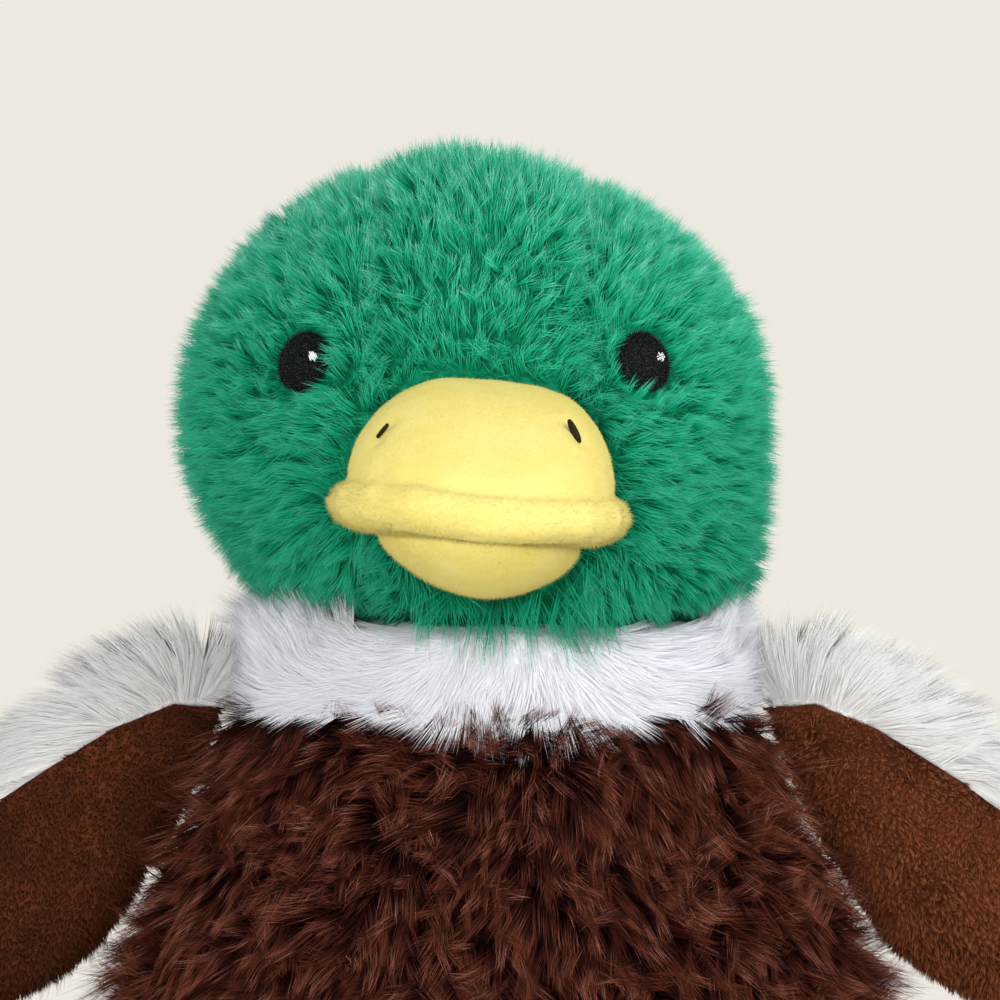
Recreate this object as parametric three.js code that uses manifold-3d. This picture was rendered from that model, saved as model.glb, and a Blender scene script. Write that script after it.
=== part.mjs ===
// A seated plush mallard drake, about 33 cm tall, in millimetres.
// +Z is up, the bill points to -Y and the toy's own left is +X. The origin is under its seat.
// Every outside form is the pressed pile surface, a few millimetres under the tips of the hairs.
import * as THREE from "three";
import { mergeVertices } from "three/addons/utils/BufferGeometryUtils.js";
import Module from "manifold-3d";

const wasm = await Module();
wasm.setup();

// Making-up: cloth thicknesses and the gaps left between sewn pieces
const seamGap = 0.3;
const longPileCloth = 7;
const shortPileCloth = 3;
const overrun = 2;
const roundSides = 26;
const fillingSides = 16;
const plugSides = 14;
const edgeSteps = 2;
const plugReach = 20;

// Trunk: the body bag from the seat up to the neck, with the white collar as its top band
const trunkHeight = 203;
const collarHeight = 23;
const trunkWidth = 208;
const bellyDepth = 83;
const backDepth = 77;
const seatSeamHeight = 12;
const sideSeamSetBack = 2;

// Bean bag in the seat
const beanBagHeight = 36;
const beanBagMargin = 14;

// Head: a round ball with full cheeks, whose face and crown lean aside on the slack neck
const headHeight = 122;
const headWidth = 151;
const faceDepth = 71;
const napeDepth = 67;
const headLean = -8;
const faceAside = -3.7;
const gussetWidth = 54;

// Eyes: embroidered ovals sunk in the pile, with a light stitch in each
const eyeSpreadShare = 0.289;
const eyeHeightShare = 0.537;
const eyeWidth = 13.2;
const eyeLength = 16;
const eyeTilt = 21;
const eyeOutTurn = 17;
const eyeSink = 1.2;
const eyeThickness = 1.4;
const glintSize = 2.6;
const glintAside = 3.4;
const glintRise = 1.3;
const glintSink = 0.2;

// Bill: a domed upper bill with a thick turned rim, over a smaller lower bill
const billProjection = 46;
const billRoot = 26;
const domeWidth = 69;
const domeRise = 37;
const domeLean = 4.4;
const domeSquareness = 0.83;
const rimWidth = 75;
const rimThickness = 11.5;
const rimHeightShare = 0.213;
const rimOverhang = 7;
const rimRise = 4;
const mandibleWidth = 59;
const mandibleDrop = 21;
const mandibleProjection = 38;
const nostrilSpreadShare = 0.275;
const nostrilRiseShare = 0.46;
const nostrilReachShare = 0.41;
const nostrilWidth = 1.7;
const nostrilLength = 5.6;
const nostrilThickness = 1;
const rimWaveStartShare = -0.0625;
const rimWaveEndShare = 0.333;
const billFlatShare = 0.25;

// Wings: flat padded paddles sewn in at the side seams
const wingRootBelowNeck = 13;
const wingRootLength = 56;
const wingSpan = 112;
const wingDrop = 90;
const wingFall = 50;
const wingThickness = 27;
const wingRootRadius = 3.7;
const wingCloth = 4;
const wingEdgeThickness = 1.5;
const liningTopShare = 0.55;
const liningBottomShare = -1.4;
const wingSides = 14;

// Feet: flat padded webbed feet, sewn to the front of the seat
const footLength = 68;
const footWidth = 62;
const heelWidth = 30;
const footThickness = 18;
const footSpreadShare = 0.221;
const footSplay = 22;
const footDrop = 20;
const footRaise = 55;
const heelSteps = 4;

// Tail: a short padded wedge on the back seam
const tailHeightShare = 0.305;
const tailLength = 44;
const tailWidth = 58;
const tailThickness = 30;
const tailLift = 14;
const tailRoot = 30;

// Places that follow from the sizes above
const eyeSpread = eyeSpreadShare * headWidth;
const eyeHeight = eyeHeightShare * headHeight;
const rimHeight = rimHeightShare * headHeight;
const nostrilSpread = nostrilSpreadShare * domeWidth;
const nostrilHeight = rimHeight + nostrilRiseShare * domeRise;
const nostrilReach = nostrilReachShare * billProjection;
const wingRootTop = trunkHeight - wingRootBelowNeck;
const wingRootBottom = wingRootTop - wingRootLength;
const footSpread = footSpreadShare * trunkWidth;
const tailHeight = tailHeightShare * trunkHeight;

// Rows of shares, bottom to top: height, half width, depth in front, depth behind, and for the
// head how far it leans
const trunkShares = [
  [0, 0.68, 0.72, 0.7],
  [0.012, 0.78, 0.82, 0.8],
  [0.04, 0.87, 0.9, 0.89],
  [0.1, 0.945, 0.955, 0.96],
  [0.2, 0.99, 0.99, 1],
  [0.32, 1, 1, 1],
  [0.44, 0.973, 0.965, 0.96],
  [0.565, 0.912, 0.905, 0.9],
  [0.66, 0.838, 0.85, 0.85],
  [0.765, 0.742, 0.785, 0.8],
  [0.887, 0.648, 0.725, 0.76],
  [1, 0.628, 0.7, 0.745],
];
const headShares = [
  [0, 0.8, 0.8, 0.85, -0.35],
  [0.04, 0.842, 0.855, 0.895, -0.35],
  [0.095, 0.889, 0.91, 0.94, -0.22],
  [0.18, 0.93, 0.962, 0.97, 0.18],
  [0.3, 0.977, 1, 1, 0.55],
  [0.42, 1, 1, 1, 0.62],
  [0.545, 0.985, 0.97, 0.98, 0.64],
  [0.665, 0.912, 0.91, 0.925, 0.66],
  [0.775, 0.785, 0.805, 0.835, 0.72],
  [0.865, 0.61, 0.655, 0.69, 0.85],
  [0.935, 0.415, 0.46, 0.49, 0.95],
  [0.982, 0.2, 0.235, 0.25, 1],
  [1, 0, 0, 0, 1],
];
// Rows of shares, face to tip: projection, half width, height of the dome's top
const domeShares = [
  [0, 0.97, 0.98],
  [0.2, 1, 1],
  [0.42, 0.99, 0.93],
  [0.62, 0.95, 0.79],
  [0.8, 0.84, 0.58],
  [0.92, 0.66, 0.4],
  [1, 0.36, 0.24],
];
const mandibleShares = [
  [0, 0.96, 0.97],
  [0.3, 1, 1],
  [0.55, 0.94, 0.93],
  [0.78, 0.78, 0.74],
  [0.93, 0.52, 0.47],
  [1, 0.2, 0.2],
];
// Half outline of the rim from the face to its tip: projection, half width
const rimShares = [
  [0, 0.93],
  [0.25, 0.99],
  [0.5, 1],
  [0.7, 0.93],
  [0.86, 0.74],
  [0.96, 0.44],
  [1, 0],
];
// Rows of shares, root to tip: top edge out and up, bottom edge out and down, half thickness
const wingShares = [
  [0.1, 0.05, 0.05, -0.2, 0.66],
  [0.26, 0, 0.13, -0.44, 0.93],
  [0.43, -0.125, 0.24, -0.62, 1],
  [0.61, -0.28, 0.37, -0.76, 0.96],
  [0.77, -0.47, 0.51, -0.87, 0.85],
  [0.89, -0.67, 0.65, -0.94, 0.66],
  [0.97, -0.87, 0.745, -0.93, 0.4],
];
const tailShares = [
  [0, 1, 1],
  [0.35, 0.94, 0.95],
  [0.62, 0.8, 0.8],
  [0.84, 0.56, 0.56],
  [0.96, 0.3, 0.32],
];
// Half outline of a foot, heel to middle toe: width and length, where it narrows to the heel
const heelShares = [
  [0.6, 0],
  [1, 0.05],
];
const toeShares = [
  [0.68, 0.36],
  [0.89, 0.64],
  [1, 0.8],
  [0.94, 0.91],
  [0.74, 0.94],
  [0.46, 0.87],
  [0.3, 0.97],
  [0.12, 1],
];
// Rows of shares, bottom to top: height, half width
const beanBagShares = [
  [0, 0.78],
  [0.12, 0.92],
  [0.4, 1],
  [0.7, 0.96],
  [0.9, 0.8],
  [1, 0.6],
];

const pileGreen = new THREE.MeshStandardMaterial({ color: 0x169a66, roughness: 0.9 });
const pileWhite = new THREE.MeshStandardMaterial({ color: 0xe9e8f2, roughness: 0.9 });
const pileGrey = new THREE.MeshStandardMaterial({ color: 0xc9ccc9, roughness: 0.9 });
const pileBrown = new THREE.MeshStandardMaterial({ color: 0x3a1f17, roughness: 0.85 });
const shortBrown = new THREE.MeshStandardMaterial({ color: 0x5e3423, roughness: 0.9 });
const shortYellow = new THREE.MeshStandardMaterial({ color: 0xf2df6e, roughness: 0.9 });
const threadBlack = new THREE.MeshStandardMaterial({ color: 0x0c0b0c, roughness: 0.5 });
const threadWhite = new THREE.MeshStandardMaterial({ color: 0xf4f4f6, roughness: 0.5 });
const threadBrown = new THREE.MeshStandardMaterial({ color: 0x3a2a12, roughness: 0.6 });
const fibreFilling = new THREE.MeshStandardMaterial({ color: 0xf3f2ee, roughness: 1 });
const beanCalico = new THREE.MeshStandardMaterial({ color: 0xd9cdb4, roughness: 0.95 });

const duck = new THREE.Group();
const bothSides = [
  ["left", 1],
  ["right", -1],
];

// A closed three.js geometry as a solid that can be cut and joined.
function solid(geometry) {
  const bare = geometry.clone();
  bare.deleteAttribute("normal");
  bare.deleteAttribute("uv");
  const welded = mergeVertices(bare, 1e-4);
  const corners = welded.index.array;
  const kept = [];
  for (let i = 0; i < corners.length; i += 3) {
    const [a, b, c] = corners.slice(i, i + 3);
    if (a !== b && b !== c && c !== a) kept.push(a, b, c);
  }
  const made = (order) =>
    new wasm.Manifold(
      new wasm.Mesh({
        numProp: 3,
        vertProperties: welded.attributes.position.array,
        triVerts: new Uint32Array(order),
      }),
    );
  const first = made(kept);
  return first.volume() > 0 ? first : made(kept.reverse());
}

// A solid back as a geometry with flat normals.
function geometryOf(made) {
  const { vertProperties, triVerts, numProp } = made.getMesh();
  const places = new Float32Array((vertProperties.length / numProp) * 3);
  for (let i = 0; i < places.length / 3; i++) {
    places.set(vertProperties.subarray(i * numProp, i * numProp + 3), i * 3);
  }
  const geometry = new THREE.BufferGeometry();
  geometry.setAttribute("position", new THREE.BufferAttribute(places, 3));
  geometry.setIndex(new THREE.BufferAttribute(new Uint32Array(triVerts), 1));
  geometry.computeVertexNormals();
  return geometry;
}

// A named piece, hung on a group whose own position is taken off the geometry.
function piece(name, made, material, group = duck) {
  const geometry = geometryOf(made);
  geometry.translate(-group.position.x, -group.position.y, -group.position.z);
  const mesh = new THREE.Mesh(geometry, material);
  mesh.name = name;
  group.add(mesh);
}

// Rings of points skinned into one closed form, with its two ends closed to their middles.
function loft(rings) {
  const sides = rings[0].length;
  const middle = (ring) =>
    ring.reduce((sum, p) => sum.add(p), new THREE.Vector3()).divideScalar(sides);
  const points = [...rings.flat(), middle(rings[0]), middle(rings[rings.length - 1])];
  const startMiddle = points.length - 2;
  const endMiddle = points.length - 1;
  const faces = [];
  for (let side = 0; side < sides; side++) {
    const next = (side + 1) % sides;
    for (let ring = 0; ring < rings.length - 1; ring++) {
      const low = ring * sides;
      const high = low + sides;
      faces.push(low + side, low + next, high + next, low + side, high + next, high + side);
    }
    const last = (rings.length - 1) * sides;
    faces.push(startMiddle, next, side, endMiddle, last + side, last + next);
  }
  const geometry = new THREE.BufferGeometry().setFromPoints(points);
  geometry.setIndex(faces);
  return geometry;
}

// A flat ring of an egg shape: one half width, and its own depth in front and behind.
function eggRing(sides, height, halfWidth, front, behind) {
  return Array.from({ length: sides }, (_, i) => {
    const turn = (i / sides) * 2 * Math.PI;
    const depth = Math.sin(turn) < 0 ? front : behind;
    return new THREE.Vector3(halfWidth * Math.cos(turn), depth * Math.sin(turn), height);
  });
}

// A box far larger than the toy, moved by its near face, to cut with.
const farSize = 4 * (trunkHeight + headHeight);
function beyond(axis, place, direction) {
  const box = new THREE.BoxGeometry(farSize, farSize, farSize);
  const shift = new THREE.Vector3();
  shift[axis] = place + (direction * farSize) / 2;
  box.translate(shift.x, shift.y, shift.z);
  return solid(box);
}

// Straight line between the rows of a table of shares, at a share of its first column.
function shareAt(rows, share, column) {
  const above = Math.max(1, rows.findIndex((row) => row[0] >= share));
  const [low, high] = [rows[above - 1], rows[above]];
  const part = (share - low[0]) / (high[0] - low[0]);
  return low[column] + part * (high[column] - low[column]);
}

// The trunk, drawn in by a cloth's thickness where inset is given.
function trunkForm(inset, sides, bottom, top) {
  const rings = trunkShares.map(([height, width, front, behind]) =>
    eggRing(
      sides,
      bottom + height * (top - bottom),
      (width * trunkWidth) / 2 - inset,
      front * bellyDepth - inset,
      behind * backDepth - inset,
    ),
  );
  return solid(loft(rings));
}
const trunkHalfWidthAt = (height) =>
  (shareAt(trunkShares, height / trunkHeight, 1) * trunkWidth) / 2;
const seatFront = shareAt(trunkShares, seatSeamHeight / trunkHeight, 2) * bellyDepth;

// The head ball, with its opening on the collar's top edge.
const neckHeight = trunkHeight + seamGap;
const leanAt = (height) => headLean * shareAt(headShares, height / headHeight, 4);
function headForm(inset, sides, bottomOverrun = 0) {
  const rings = headShares.map(([height, width, front, behind, lean], row) =>
    eggRing(
      sides,
      neckHeight + height * (headHeight - inset) - (row === 0 ? bottomOverrun : 0),
      Math.max(0, (width * headWidth) / 2 - inset),
      Math.max(0, front * faceDepth - inset),
      Math.max(0, behind * napeDepth - inset),
    ).map((p) => p.setX(p.x + lean * headLean)),
  );
  return solid(loft(rings));
}

// A point of the head's face at a distance aside and a height above the neck.
function facePoint(aside, height) {
  const halfWidth = (shareAt(headShares, height / headHeight, 1) * headWidth) / 2;
  const front = shareAt(headShares, height / headHeight, 2) * faceDepth;
  const depth = front * Math.sqrt(1 - (aside / halfWidth) ** 2);
  return new THREE.Vector3(leanAt(height) + aside, -depth, neckHeight + height);
}

// An oval plug through a surface, along a direction, turned about that direction.
function ovalPlug(centre, direction, width, length, turn) {
  const plug = new THREE.CylinderGeometry(1, 1, 1, plugSides);
  plug.rotateX(Math.PI / 2);
  plug.scale(width / 2, length / 2, 2 * plugReach);
  plug.rotateZ(turn);
  const facing = new THREE.Object3D();
  facing.up.set(0, 0, 1);
  facing.position.copy(centre);
  facing.lookAt(centre.clone().add(direction));
  facing.updateMatrix();
  plug.applyMatrix4(facing.matrix);
  return solid(plug);
}

// Trunk covers: seat, belly, two back halves that meet on the back seam, and the collar band.
function addTrunk() {
  const outside = trunkForm(0, roundSides, 0, trunkHeight);
  const inside = trunkForm(longPileCloth, fillingSides, longPileCloth, trunkHeight + overrun);
  const cloth = outside.subtract(inside);
  const collarSeam = trunkHeight - collarHeight;
  const seat = cloth.subtract(beyond("z", seatSeamHeight, 1));
  const body = cloth
    .subtract(beyond("z", seatSeamHeight + seamGap, -1))
    .subtract(beyond("z", collarSeam - seamGap, 1));
  const back = body.subtract(beyond("y", sideSeamSetBack + seamGap, -1));
  piece("seat_panel", seat, pileGrey);
  piece("belly_panel", body.subtract(beyond("y", sideSeamSetBack, 1)), pileBrown);
  piece("back_panel_left", back.subtract(beyond("x", seamGap / 2, -1)), pileGrey);
  piece("back_panel_right", back.subtract(beyond("x", -seamGap / 2, 1)), pileGrey);
  piece("neck_collar", cloth.subtract(beyond("z", collarSeam, -1)), pileWhite);
}

// The bean bag lies on the seat, and the fibre filling of the body closes over it.
function addTrunkFillings() {
  const inset = longPileCloth + seamGap;
  const bagBottom = inset;
  const bagForm = (grow, drop) =>
    solid(
      loft(
        beanBagShares.map(([height, size], row) =>
          eggRing(
            fillingSides,
            bagBottom + height * (beanBagHeight + grow) - (row === 0 ? drop : 0),
            size * (trunkHalfWidthAt(seatSeamHeight) - inset - beanBagMargin) + grow,
            size * (seatFront - inset - beanBagMargin) + grow,
            size * (seatFront - inset - beanBagMargin) + grow,
          ),
        ),
      ),
    );
  const filling = trunkForm(inset, fillingSides, bagBottom, trunkHeight);
  piece("bean_bag", bagForm(0, 0), beanCalico);
  piece("body_filling", filling.subtract(bagForm(seamGap, overrun)), fibreFilling);
}

// Head covers: a centre gusset from the bill over the crown to the nape, and a panel each side.
function addHead() {
  const cloth = headForm(0, roundSides).subtract(
    headForm(longPileCloth, fillingSides, overrun),
  );
  const eyeFloor = eyeSink + eyeThickness;
  const half = gussetWidth / 2;
  for (const [name, side] of bothSides) {
    const centre = facePoint(side * eyeSpread, eyeHeight);
    const outTurn = THREE.MathUtils.degToRad(side * eyeOutTurn);
    const outward = new THREE.Vector3(Math.sin(outTurn), -Math.cos(outTurn), 0);
    const turn = THREE.MathUtils.degToRad(side * eyeTilt);
    const plug = (grow) =>
      ovalPlug(centre, outward, eyeWidth + grow, eyeLength + grow, turn);
    const recess = plug(2 * seamGap).subtract(headForm(eyeFloor + seamGap, roundSides, overrun));
    const panel = cloth
      .subtract(beyond("x", faceAside + side * (half + seamGap / 2), -side))
      .subtract(recess);
    piece(`head_panel_${name}`, panel, pileGreen);
    const eye = plug(0)
      .intersect(headForm(eyeSink, roundSides, overrun))
      .subtract(headForm(eyeFloor, roundSides, overrun));
    piece(`eye_${name}`, eye, threadBlack);
    const glintCentre = facePoint(side * eyeSpread + glintAside, eyeHeight + glintRise);
    const glint = ovalPlug(glintCentre, outward, glintSize, glintSize, 0)
      .intersect(headForm(glintSink, roundSides, overrun))
      .subtract(headForm(eyeSink - seamGap, roundSides, overrun));
    piece(`eye_glint_${name}`, glint, threadWhite);
  }
  const gusset = cloth
    .subtract(beyond("x", faceAside + half - seamGap / 2, 1))
    .subtract(beyond("x", faceAside - half + seamGap / 2, -1));
  piece("head_gusset", gusset, pileGreen);
  piece("head_filling", headForm(longPileCloth + seamGap, fillingSides), fibreFilling);
}

// The bill's forms start inside the face and end at its tip; the head then cuts them off.
const rimPlane = neckHeight + rimHeight;
const billStart = -(faceDepth - billRoot);

// The slack rim rides up towards the toy's right cheek.
function rimWave(aside) {
  const start = rimWaveStartShare * rimWidth;
  const way = THREE.MathUtils.smoothstep(-aside, start, rimWaveEndShare * rimWidth);
  return rimRise * way;
}

// The two stuffed forms of the bill: a squarish dome whose top leans aside, and a round jaw.
const dome = {
  shares: domeShares,
  tip: -(faceDepth + billProjection),
  width: domeWidth,
  rise: domeRise,
  lean: domeLean,
  squareness: domeSquareness,
};
const mandible = {
  shares: mandibleShares,
  tip: -(faceDepth + mandibleProjection),
  width: mandibleWidth,
  rise: -mandibleDrop,
  lean: 0,
  squareness: 1,
};

// A half-round bill form, level with the rim and reaching up or down by its rise.
function billForm({ shares, tip, width, rise, lean, squareness }, inset) {
  const end = tip + inset;
  const flat = inset - billFlatShare * rimThickness;
  const rings = shares.map(([along, wide, high]) => {
    const halfWidth = Math.max(inset, (wide * width) / 2 - inset);
    const reach = Math.max(shortPileCloth, high * Math.abs(rise) - inset);
    return Array.from({ length: fillingSides }, (_, i) => {
      const turn = (i / fillingSides) * 2 * Math.PI;
      const across = Math.sign(Math.cos(turn)) * Math.abs(Math.cos(turn)) ** squareness;
      const up = Math.max(0, Math.sin(turn)) ** squareness;
      const under = Math.min(0, Math.sin(turn));
      const aside = halfWidth * across;
      return new THREE.Vector3(
        faceAside + aside + lean * up ** 2,
        billStart + along * (end - billStart),
        rimPlane + Math.sign(rise) * (reach * up - flat * under) + rimWave(aside),
      );
    });
  });
  return solid(loft(rings));
}

// The turned rim: the bill's plan outline as a thick pad with a fully round edge.
function rimForm(inset) {
  const radius = rimThickness / 2 - inset;
  const flatHalfWidth = rimWidth / 2 - rimThickness / 2;
  const reach = billProjection + billRoot + rimOverhang - rimThickness / 2;
  const half = rimShares.map(
    ([along, wide]) => new THREE.Vector2(wide * flatHalfWidth, along * reach),
  );
  const mirrored = half.slice(0, -1).reverse();
  const outline = new THREE.Shape([
    ...half,
    ...mirrored.map((p) => new THREE.Vector2(-p.x, p.y)),
  ]);
  const pad = new THREE.ExtrudeGeometry(outline, {
    depth: seamGap,
    steps: 1,
    bevelThickness: radius,
    bevelSize: radius,
    bevelSegments: edgeSteps,
  });
  pad.rotateX(Math.PI);
  pad.translate(faceAside, billStart, rimPlane + seamGap / 2);
  const places = pad.attributes.position;
  for (let i = 0; i < places.count; i++) {
    places.setZ(i, places.getZ(i) + rimWave(places.getX(i) - faceAside));
  }
  return solid(pad);
}

function addBill() {
  const face = headForm(-seamGap, roundSides, overrun);
  const domeAt = (inset) => billForm(dome, inset);
  const upper = domeAt(0).add(rimForm(0));
  const upperFilling = domeAt(shortPileCloth).add(rimForm(shortPileCloth));
  const upperFillingCore = domeAt(shortPileCloth + seamGap).add(
    rimForm(shortPileCloth + seamGap),
  );
  let upperCover = upper.subtract(upperFilling).subtract(face);
  for (const [name, side] of bothSides) {
    const centre = new THREE.Vector3(
      faceAside + side * nostrilSpread,
      -(faceDepth + nostrilReach),
      neckHeight + nostrilHeight,
    );
    const outward = new THREE.Vector3(side, -1, 1);
    const plug = (grow) =>
      ovalPlug(centre, outward, nostrilWidth + grow, nostrilLength + grow, 0);
    const floor = seamGap + nostrilThickness;
    upperCover = upperCover.subtract(
      plug(2 * seamGap).subtract(domeAt(floor + seamGap)),
    );
    const slit = plug(0).intersect(domeAt(seamGap)).subtract(domeAt(floor));
    piece(`nostril_${name}`, slit.subtract(face), threadBrown);
  }
  piece("upper_bill_cover", upperCover, shortYellow);
  piece("upper_bill_filling", upperFillingCore.subtract(face), fibreFilling);

  const clearOfUpper = domeAt(-seamGap).add(rimForm(-seamGap));
  const lowerAt = (inset) =>
    billForm(mandible, inset).subtract(clearOfUpper).subtract(face);
  piece(
    "lower_bill_cover",
    lowerAt(0).subtract(billForm(mandible, shortPileCloth)),
    shortYellow,
  );
  piece("lower_bill_filling", lowerAt(shortPileCloth + seamGap), fibreFilling);
}

// The straight sewn root of a wing, held clear of the bulge of the body's side.
function wingRoot(side) {
  const high = new THREE.Vector3(trunkHalfWidthAt(wingRootTop), 0, wingRootTop);
  const low = new THREE.Vector3(trunkHalfWidthAt(wingRootBottom), 0, wingRootBottom);
  const along = high.clone().sub(low);
  const outward = new THREE.Vector3(along.z, 0, -along.x).normalize();
  const bulge = Math.max(
    ...trunkShares
      .map(([height]) => height * trunkHeight)
      .filter((z) => z > wingRootBottom && z < wingRootTop)
      .map((z) => new THREE.Vector3(trunkHalfWidthAt(z), 0, z).sub(low).dot(outward)),
    0,
  );
  const shift = outward.clone().multiplyScalar(bulge + seamGap + wingRootRadius);
  const place = (p) => p.add(shift).multiply(new THREE.Vector3(side, 1, 1));
  return {
    high: place(high),
    low: place(low),
    outward: outward.multiply(new THREE.Vector3(side, 1, 1)),
  };
}

// The ends of one of a wing's cross-sections, from its row of shares.
function wingEdges(root, side, [topOut, topUp, lowOut, lowDown]) {
  const high = new THREE.Vector3(side * topOut * wingSpan, 0, topUp * wingDrop);
  const low = new THREE.Vector3(side * lowOut * wingSpan, 0, lowDown * wingFall);
  return [high.add(root.high), low.add(root.low)];
}

// A wing between its top and bottom edges, drawn in by a cloth's thickness.
function wingForm(side, inset) {
  const root = wingRoot(side);
  const tip = root.high.clone().add(new THREE.Vector3(side * wingSpan, 0, -wingDrop));
  tip.add(new THREE.Vector3(-side * inset, 0, 0));
  const section = (high, low, halfThickness) => {
    const centre = high.clone().add(low).multiplyScalar(0.5);
    const half = high.clone().sub(low).multiplyScalar(0.5);
    half.setLength(Math.max(inset, half.length() - inset));
    const thick = Math.max(wingEdgeThickness / 2, halfThickness - inset);
    return Array.from({ length: wingSides }, (_, i) => {
      const turn = (i / wingSides) * 2 * Math.PI;
      return centre
        .clone()
        .addScaledVector(half, Math.cos(turn))
        .add(new THREE.Vector3(0, thick * Math.sin(turn), 0));
    });
  };
  const rings = [];
  if (inset === 0) {
    for (const turn of [Math.PI / 12, Math.PI / 4, Math.PI / 2]) {
      const back = root.outward.clone().multiplyScalar(-wingRootRadius * Math.cos(turn));
      rings.push(
        section(
          root.high.clone().add(back),
          root.low.clone().add(back),
          wingRootRadius * Math.sin(turn),
        ),
      );
    }
  }
  for (const row of wingShares) {
    const thick = row[row.length - 1];
    rings.push(section(...wingEdges(root, side, row), (thick * wingThickness) / 2));
  }
  rings.push(Array.from({ length: wingSides }, () => tip.clone()));
  return solid(loft(rings));
}

// The space in front of a wing that its lining fills, from a line under the top edge down.
function liningSide(side, grow) {
  const root = wingRoot(side);
  const behindRoot = root.outward.clone().multiplyScalar(-2 * wingRootRadius);
  const lines = wingShares.map((row) => wingEdges(root, side, row));
  lines.unshift(
    [root.high.clone().add(behindRoot), root.low.clone().add(behindRoot)],
    [root.high, root.low],
  );
  const pastTip = new THREE.Vector3((side * wingSpan) / 4, 0, -wingDrop / 4);
  lines.push(lines[lines.length - 1].map((p) => p.clone().add(pastTip)));
  const rings = lines.map(([high, low]) => {
    const centre = high.clone().add(low).multiplyScalar(0.5);
    const half = high.clone().sub(low).multiplyScalar(0.5);
    const top = centre.clone().addScaledVector(half, liningTopShare + grow / half.length());
    const bottom = centre.clone().addScaledVector(half, liningBottomShare);
    return [
      top.clone().setY(-wingSpan),
      bottom.clone().setY(-wingSpan),
      bottom.setY(grow),
      top.setY(grow),
    ];
  });
  return solid(loft(rings));
}

// A wing: short-haired lining in front, long-haired grey behind and over the top edge.
function addWing(name, side) {
  const root = wingRoot(side);
  const wing = new THREE.Group();
  wing.position.copy(root.high).add(root.low).multiplyScalar(0.5);
  wing.userData.hingeAxis = root.high.clone().sub(root.low).normalize().toArray();
  duck.add(wing);
  const cloth = wingForm(side, 0).subtract(wingForm(side, wingCloth));
  const front = liningSide(side, -seamGap / 2);
  piece(`wing_lining_${name}`, cloth.intersect(front), shortBrown, wing);
  piece(`wing_back_${name}`, cloth.subtract(liningSide(side, seamGap / 2)), pileGrey, wing);
  piece(`wing_filling_${name}`, wingForm(side, wingCloth + seamGap), fibreFilling, wing);
}

// Half the plan outline of a webbed foot with three toes, from the heel out to the middle toe.
function footOutline(inset) {
  const wide = footWidth / 2 - inset;
  const long = footLength - inset;
  const heel = heelWidth / 2 - inset;
  const half = [
    ...heelShares.map(([x, y]) => new THREE.Vector2(x * heel, inset + y * long)),
    ...toeShares.map(([x, y]) => new THREE.Vector2(x * wide, y * long)),
  ];
  const mirrored = half.map((p) => new THREE.Vector2(-p.x, p.y)).reverse();
  return new THREE.Shape([...half, ...mirrored]);
}

// A foot pad with a round edge, the middle of its heel's edge lying along the X axis.
function footPad(inset) {
  const radius = footThickness / 2 - seamGap;
  const round = radius - inset;
  const pad = new THREE.ExtrudeGeometry(footOutline(radius), {
    depth: 2 * seamGap,
    steps: 1,
    bevelThickness: round,
    bevelSize: round,
    bevelSegments: inset === 0 ? heelSteps : edgeSteps,
  });
  pad.translate(0, -radius, -seamGap);
  return pad;
}

function addFoot(name, side) {
  const middle = footThickness / 2;
  const splay = THREE.MathUtils.degToRad(side * footSplay);
  const place = (inset, heel, raise = 0) => {
    const pad = footPad(inset);
    pad.rotateX(THREE.MathUtils.degToRad(raise));
    pad.rotateZ(Math.PI + splay);
    pad.translate(side * footSpread, heel, middle);
    return solid(pad);
  };
  // The foot moves back from well in front until its whole swing is a seam's gap from the body.
  const body = trunkForm(0, roundSides, 0, trunkHeight);
  const raises = [-footDrop, 0, footRaise / 2, footRaise];
  let heel = -2 * bellyDepth;
  for (let step = 0; step < roundSides; step++) {
    const gaps = raises.map((raise) => place(0, heel, raise).minGap(body, bellyDepth));
    heel += Math.min(...gaps) - seamGap;
  }
  const foot = new THREE.Group();
  foot.position.set(side * footSpread, heel, middle);
  foot.userData.hingeAxis = [Math.cos(splay), Math.sin(splay), 0];
  duck.add(foot);
  const cloth = place(0, heel).subtract(place(shortPileCloth, heel));
  const sole = cloth.subtract(beyond("z", middle - seamGap / 2, 1));
  const top = cloth.subtract(beyond("z", middle + seamGap / 2, -1));
  piece(`foot_top_${name}`, top, shortYellow, foot);
  piece(`foot_sole_${name}`, sole, shortYellow, foot);
  piece(`foot_filling_${name}`, place(shortPileCloth + seamGap, heel), fibreFilling, foot);
}

// The tail wedge narrows to a blunt tip that lifts, and the body cuts its root.
function tailForm(inset) {
  const start = backDepth - tailRoot;
  const reach = tailRoot + tailLength - inset;
  const rings = tailShares.map(([along, wide, thick]) =>
    Array.from({ length: wingSides }, (_, i) => {
      const turn = (i / wingSides) * 2 * Math.PI;
      return new THREE.Vector3(
        ((wide * tailWidth) / 2 - inset) * Math.cos(turn),
        start + along * reach,
        tailHeight +
          tailLift * along ** 2 +
          ((thick * tailThickness) / 2 - inset) * Math.sin(turn),
      );
    }),
  );
  const tip = new THREE.Vector3(0, start + reach, tailHeight + tailLift);
  rings.push(Array.from({ length: wingSides }, () => tip.clone()));
  return solid(loft(rings));
}

function addTail() {
  const body = trunkForm(-seamGap, roundSides, -seamGap, trunkHeight);
  const cloth = tailForm(0).subtract(tailForm(wingCloth)).subtract(body);
  piece("tail_cover", cloth, pileGrey);
  piece("tail_filling", tailForm(wingCloth + seamGap).subtract(body), fibreFilling);
}

addTrunk();
addTrunkFillings();
addHead();
addBill();
for (const [name, side] of bothSides) {
  addWing(name, side);
  addFoot(name, side);
}
addTail();

export default duck;
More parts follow.
